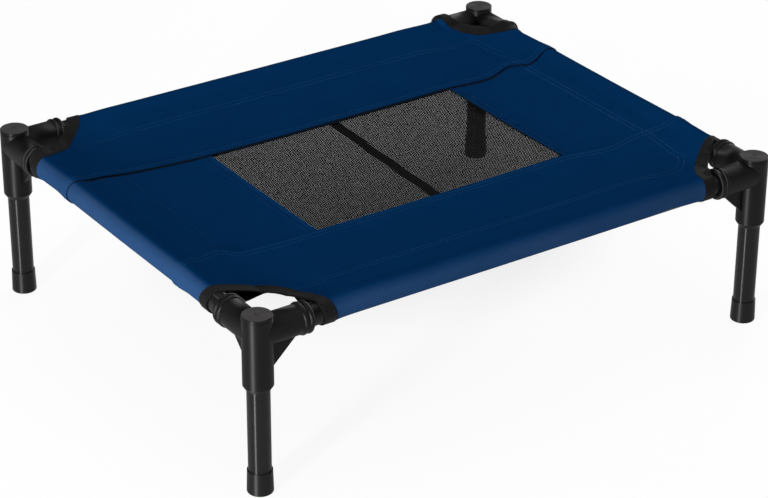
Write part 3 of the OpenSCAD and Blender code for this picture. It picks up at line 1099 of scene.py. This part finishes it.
def seam_shadow_tape(name, start, stop, outward, lift, on_net):
    """A dark strip along a line in unwrapped coordinates, from outside a folded edge to under it, as a
    painted shadow.
    """
    line = resample(np.array([start, stop]), LINE_STEP)
    count = len(line)
    rows = []
    uv = []
    section = ((SHADOW_STRIP_OUT, 0), (-SHADOW_STRIP_IN, 0), (-SHADOW_STRIP_IN, 1), (SHADOW_STRIP_OUT, 1))
    for out, up in section:
        share = seam_lip(line[:, 0]) if out > 0 else np.ones(count)
        p, q = (line + np.outer(share, outward) * out).T
        level = lift(p, q) + wrinkles(p, q) + SHADOW_STRIP_PLAY + up * SHADOW_STRIP_THICK
        if on_net and up == 0:
            level = level - down_to_net(p)
        rows.append(cover_point(p, q) + cover_normal(p, q) * level[:, None])
        uv.append(pairs(np.linspace(0, count * LINE_STEP, count), out))
    along = np.subtract(stop, start)
    faces = ring_faces(len(section), count, along[0] * outward[1] - along[1] * outward[0] < 0)
    tape = add_object(name, np.concatenate(rows), faces, seam_shadow_cloth, np.concatenate(uv))
    ride_cover(tape, "binding_tape")


for side, sign in (("front", -1), ("back", 1)):
    reach = FLAT_X + UNDER
    at = sign * SEAM_Y
    panel = f"side_panel_cloth_{side}"
    seam_shadow_tape(f"seam_shadow_tape_{side}", (-reach, at), (reach, at), (0, -sign), over_ends, True)
for side, sign in SHORT_SIDES:
    reach = SEAM_Y - SHADOW_STRIP_OUT
    at = sign * WINDOW_ENDS[side]
    panel = f"end_panel_cloth_{side}"
    seam_shadow_tape(f"seam_shadow_tape_{side}", (at, -reach), (at, reach), (-sign, 0), below_ends, False)

# Stitch rows. The double rows pass the right corners' cut-outs at these distances from the binding

ROW_INSET = {"front": 12 * MM, "back": 5 * MM}
RIGHT_SHIFT = 5.5 * MM
ROW_STEP = 2 * MM
ROW_ROUNDING = 8


def side_rows(side, sign):
    """Double row on a side panel. At the left end it stops at the binding, and at the right end
    it goes round the corner's cut-out and along the short rail."""
    rows = []
    seam = HALF_WIDTH - SEAM_Y
    for inset in (0.0, ROW_GAP):
        depth = SLEEVE_DEPTH + inset
        wide_x, wide_y, power = cut_shape(f"{side}_left", TAPE_WIDTH)
        stop_x = wide_x * (1 - (depth / wide_y) ** power) ** (1 / power)
        wide_x, wide_y, power = cut_shape(f"{side}_right", TAPE_WIDTH + ROW_INSET[side] + inset)
        turn = np.linspace(0, math.pi / 2, 40)
        u = np.maximum(wide_x * np.cos(turn) ** (2 / power), depth - RIGHT_SHIFT)
        v = np.maximum(wide_y * np.sin(turn) ** (2 / power), depth)
        end_x = 2 * HALF_LENGTH - depth + RIGHT_SHIFT
        x = np.concatenate([[stop_x], 2 * HALF_LENGTH - u, [end_x]]) - HALF_LENGTH
        y = np.concatenate([[depth], v, [seam]]) - HALF_WIDTH
        line = soften(resample(pairs(x, y), ROW_STEP), ROW_ROUNDING)
        rows.append(line * [1, sign])
    return rows


def side_top(p, q):
    """Height of a side panel's upper face."""
    return side_lift(p, q) + FABRIC / 2 + side_ridge(p, q)


def tape_top(p, q):
    """Height of a binding's upper face, halfway up its ribs."""
    return edge_lift(p, q) + TAPE_OUTSIDE + RIB_RISE / 2


SEAM_ROWS = (3.0 * MM, 8.5 * MM)
BINDING_ROW = TAPE_WIDTH - 2 * MM
BINDING_MARKS = np.linspace(0.2, 4.8, 300)
RAIL_ROWS = {
    "left": [FLAT_X - HEM],
    "right": [FLAT_X + RIGHT_SHIFT, FLAT_X + RIGHT_SHIFT - ROW_GAP],
}
RAIL_THREAD = {"left": deep_thread, "right": blue_thread}
for side, sign in (("front", 1), ("back", -1)):
    wrap_end = FLAT_X + UNDER + STRAIGHT / 2
    rows = side_rows(side, sign)
    for inside in SEAM_ROWS:
        y = -sign * (SEAM_Y + inside)
        rows.append(np.array([[-wrap_end, y], [wrap_end, y]]))
    stitch_piece(f"stitches_side_{side}", rows, side_top, blue_thread, "cover_fabric")

for side, sign in SHORT_SIDES:
    window_rows = [WINDOW_ENDS[side] + d for d in SEAM_ROWS]
    groups = (("rail", RAIL_ROWS[side], RAIL_THREAD[side]), ("window", window_rows, deep_thread))
    for place, at_lines, thread in groups:
        rows = [np.array([[sign * at, -SEAM_Y], [sign * at, SEAM_Y]]) for at in at_lines]
        stitch_piece(f"stitches_{place}_{side}", rows, end_top, thread, "cover_fabric")

for corner in CORNERS:
    row = pairs(*corner_place(corner, *tape_path(corner, BINDING_ROW, BINDING_MARKS)))
    stitch_piece(f"stitches_binding_{corner}", [row], tape_top, black_thread, "binding_tape")

# Floor, light and camera

FLOOR_SHADOW = 0.08
# More of the cot's own shadow shows below the cot and behind it, away from the key light, and fades out:
# the middle and the half sizes of that place along X and Y
SHADE_MIDDLE = (0.12, 0.19)
SHADE_REACH = (0.27, 0.25)
SHADE_DEPTH = 0.50
SHADE_FADE = (0.2, 1.25)
FLOOR_LEVEL = -0.5 * MM
FLOOR_RADIUS = 18.0
RIM_RADIUS = 2.3
RIM_STEPS = 8
FLOOR_SEGMENTS = 96
# The sky is dim round about and bright overhead, from these heights of its direction on
SKY_LOW = 0.05
SKY_HIGH = 1.65
SKY_EDGE = (0.72, 0.95)


def floor_material():
    """Matt and pale, and white to rays from the camera, from reflections and through clear things."""
    m = Shader("pale_floor")
    m.set(Base_Color=colour(0.85, 0.85, 0.85), Roughness=1.0, Specular_IOR_Level=0.0)
    path = m.node("ShaderNodeLightPath").outputs
    seen = m.math("MAXIMUM", path["Is Camera Ray"], path["Is Glossy Ray"])
    seen = m.math("MAXIMUM", seen, path["Is Transmission Ray"])
    ground = m.axes(m.node("ShaderNodeNewGeometry").outputs["Position"])
    squares = []
    for axis, at, half in zip("XY", SHADE_MIDDLE, SHADE_REACH):
        away = m.math("DIVIDE", m.math("SUBTRACT", ground[axis], at), half)
        squares.append(m.math("MULTIPLY", away, away))
    away = m.math("SQRT", m.math("ADD", *squares))
    fade = m.ramp(away, *SHADE_FADE, 1 - SHADE_DEPTH, 1 - FLOOR_SHADOW)
    white = m.node("ShaderNodeEmission")
    white.inputs["Color"].default_value = colour(1, 1, 1)
    white.inputs["Strength"].default_value = 1.0
    blend = m.node("ShaderNodeMixShader")
    m.link(m.math("MULTIPLY", seen, fade), blend.inputs[0])
    m.link(m.surface.outputs["BSDF"], blend.inputs[1])
    m.link(white.outputs[0], blend.inputs[2])
    m.link(blend.outputs[0], m.output.inputs["Surface"])
    return m.material


def studio_floor():
    """A wide round floor that curves up at its rim, so that low views see it too."""
    verts = [(0.0, 0.0, FLOOR_LEVEL)]
    for bend in np.linspace(0, math.pi / 2, RIM_STEPS + 1):
        radius = FLOOR_RADIUS + RIM_RADIUS * math.sin(bend)
        height = FLOOR_LEVEL + RIM_RADIUS * (1 - math.cos(bend))
        for k in range(FLOOR_SEGMENTS):
            angle = 2 * math.pi * k / FLOOR_SEGMENTS
            verts.append((radius * math.cos(angle), radius * math.sin(angle), height))
    faces = []
    for k in range(FLOOR_SEGMENTS):
        j = (k + 1) % FLOOR_SEGMENTS
        faces.append((0, 1 + k, 1 + j))
        for ring in range(RIM_STEPS):
            low = 1 + ring * FLOOR_SEGMENTS
            high = low + FLOOR_SEGMENTS
            faces.append((low + k, high + k, high + j, low + j))
    return add_object("studio_floor", verts, faces, floor_material())


studio_floor()

world = bpy.data.worlds.new("studio")
bpy.context.scene.world = world
world.use_nodes = True
sky = Nodes(world.node_tree)
background = sky.tree.nodes["Background"]
background.inputs["Color"].default_value = colour(1, 1, 1)
overhead = sky.axes(sky.node("ShaderNodeTexCoord").outputs["Generated"])["Z"]
sky.link(sky.ramp(overhead, *SKY_EDGE, SKY_LOW, SKY_HIGH), background.inputs["Strength"])


def seen_from(azimuth, elevation):
    """Direction to a place at these angles in degrees. Azimuth 0 is in front of the long side."""
    a, e = math.radians(azimuth), math.radians(elevation)
    return Vector((math.sin(a) * math.cos(e), -math.cos(a) * math.cos(e), math.sin(e)))


def soft_light(name, azimuth, elevation, distance, width, height, power):
    """An area light aimed at the middle of the cover."""
    back = seen_from(azimuth, elevation)
    lamp = bpy.data.lights.new(name, "AREA")
    lamp.shape = "RECTANGLE"
    lamp.size = width
    lamp.size_y = height
    lamp.energy = power
    made = bpy.data.objects.new(name, lamp)
    made.location = Vector((0, 0, RAIL_Z)) + back * distance
    made.rotation_mode = "QUATERNION"
    made.rotation_quaternion = (-back).to_track_quat("-Z", "Y")
    bpy.context.scene.collection.objects.link(made)


soft_light("key", -64, 7, 2.4, 0.26, 0.60, 92)
soft_light("right_fill", 112, 22, 2.6, 1.3, 1.0, 36)

CAMERA_AZIMUTH = -34.345
CAMERA_ELEVATION = 27.74
CAMERA_ROLL = math.radians(0.251)
CAMERA_DISTANCE = 2.78167
CAMERA_OFFSET = (-0.003937, -0.056099)
FOCAL_PIXELS = 2684.88
IMAGE_WIDTH = 768
SENSOR_WIDTH = 36

back = seen_from(CAMERA_AZIMUTH, CAMERA_ELEVATION)
level_right = seen_from(CAMERA_AZIMUTH + 90, 0)
level_up = back.cross(level_right)
right = level_right * math.cos(CAMERA_ROLL) + level_up * math.sin(CAMERA_ROLL)
up = level_up * math.cos(CAMERA_ROLL) - level_right * math.sin(CAMERA_ROLL)
place = back * CAMERA_DISTANCE - right * CAMERA_OFFSET[0] - up * CAMERA_OFFSET[1]
lens = bpy.data.cameras.new("camera")
lens.sensor_width = SENSOR_WIDTH
lens.lens = FOCAL_PIXELS * SENSOR_WIDTH / IMAGE_WIDTH
camera = bpy.data.objects.new("camera", lens)
camera.matrix_world = Matrix.Translation(place) @ Matrix((right, up, back)).transposed().to_4x4()
bpy.context.scene.collection.objects.link(camera)
bpy.context.scene.camera = camera
bpy.context.scene.view_settings.view_transform = "Standard"
